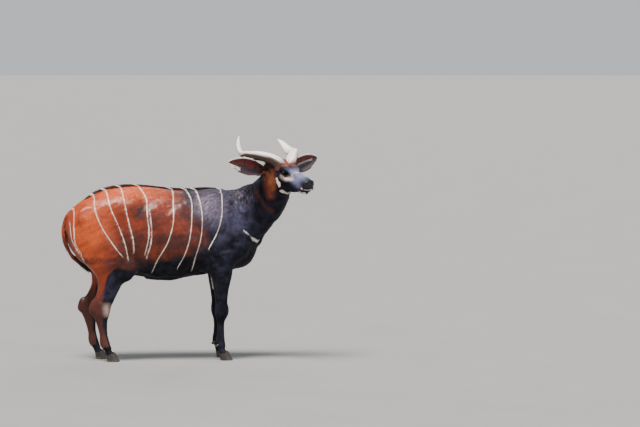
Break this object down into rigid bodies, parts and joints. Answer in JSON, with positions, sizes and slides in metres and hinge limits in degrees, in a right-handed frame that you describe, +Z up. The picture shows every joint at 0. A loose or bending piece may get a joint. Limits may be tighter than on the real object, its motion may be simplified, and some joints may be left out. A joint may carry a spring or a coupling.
{
  "type": "bongo antelope model",
  "caption": "Life-size standing bongo antelope bull with white flank stripes and lyre-shaped horns, head turned to look over its right side.",
  "frame": {"origin": "on the floor, under the middle of the box round the whole animal", "axes": "+X the way the trunk faces, +Y the animal's left, +Z up"},
  "size_m": [1.8142, 0.8154, 1.5845],
  "materials": {
    "coat_rust": "short glossy chestnut hair with narrow white stripes",
    "coat_dark": "short blue-black hair with a soft sheen",
    "horn_keratin": "smooth grey-brown keratin that pales to ivory at the tip",
    "hoof_keratin": "dark keratin, slightly glossy",
    "eye_dark": "wet, nearly black"
  },
  "bodies": {
    "root": {"dewclaw_front_left_inner": "hoof_keratin", "dewclaw_front_left_outer": "hoof_keratin", "dewclaw_front_right_inner": "hoof_keratin", "dewclaw_front_right_outer": "hoof_keratin", "dewclaw_hind_left_inner": "hoof_keratin", "dewclaw_hind_left_outer": "hoof_keratin", "dewclaw_hind_right_inner": "hoof_keratin", "dewclaw_hind_right_outer": "hoof_keratin", "ear_left": "coat_dark", "ear_right": "coat_dark", "eye_left": "eye_dark", "eye_right": "eye_dark", "foreleg_left": "coat_dark", "foreleg_right": "coat_dark", "head": "coat_dark", "hindleg_left": "coat_rust", "hindleg_right": "coat_rust", "hoof_front_left_inner": "hoof_keratin", "hoof_front_left_outer": "hoof_keratin", "hoof_front_right_inner": "hoof_keratin", "hoof_front_right_outer": "hoof_keratin", "hoof_hind_left_inner": "hoof_keratin", "hoof_hind_left_outer": "hoof_keratin", "hoof_hind_right_inner": "hoof_keratin", "hoof_hind_right_outer": "hoof_keratin", "horn_left": "horn_keratin", "horn_right": "horn_keratin", "neck": "coat_dark", "tail": "coat_rust", "torso": "coat_rust"}
  },
  "joints": []
}
